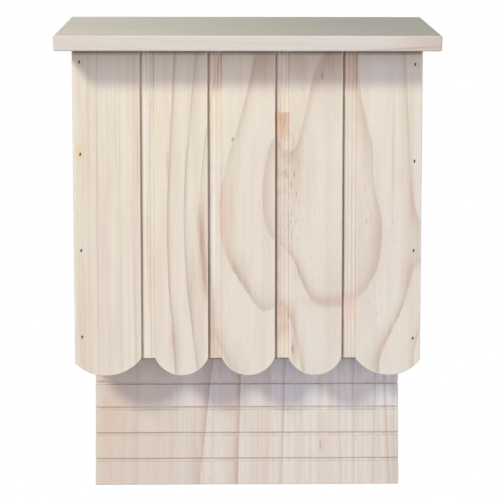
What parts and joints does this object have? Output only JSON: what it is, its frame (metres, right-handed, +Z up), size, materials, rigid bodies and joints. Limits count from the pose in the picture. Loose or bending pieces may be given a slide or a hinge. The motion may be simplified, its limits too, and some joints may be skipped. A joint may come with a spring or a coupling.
{
  "type": "bat box",
  "caption": "Wall-hung wooden bat box with a sloping roof, a scalloped front with beaded strips, two inner crevices open at the foot and a grooved landing plate.",
  "frame": {"origin": "centre of the keyhole's round entry in the rear of the back plate, in the wall plane", "axes": "+X to the right as seen from the front, +Y into the wall, +Z up; the front faces -Y"},
  "size_m": [0.3, 0.1143, 0.3986],
  "materials": {
    "back_board": "raw sawn",
    "side_boards": "raw planed",
    "front_board": "raw planed",
    "roof_board": "raw planed",
    "inner_board": "raw sawn",
    "brad_steel": "dull"
  },
  "bodies": {
    "root": {"back_plate": "back_board", "left_side": "side_boards", "right_side": "side_boards", "front_panel": "front_board", "roof": "roof_board", "partition": "inner_board", "front_brads": "brad_steel", "side_brads": "brad_steel", "roof_brads": "brad_steel", "partition_brads": "brad_steel"}
  },
  "joints": []
}
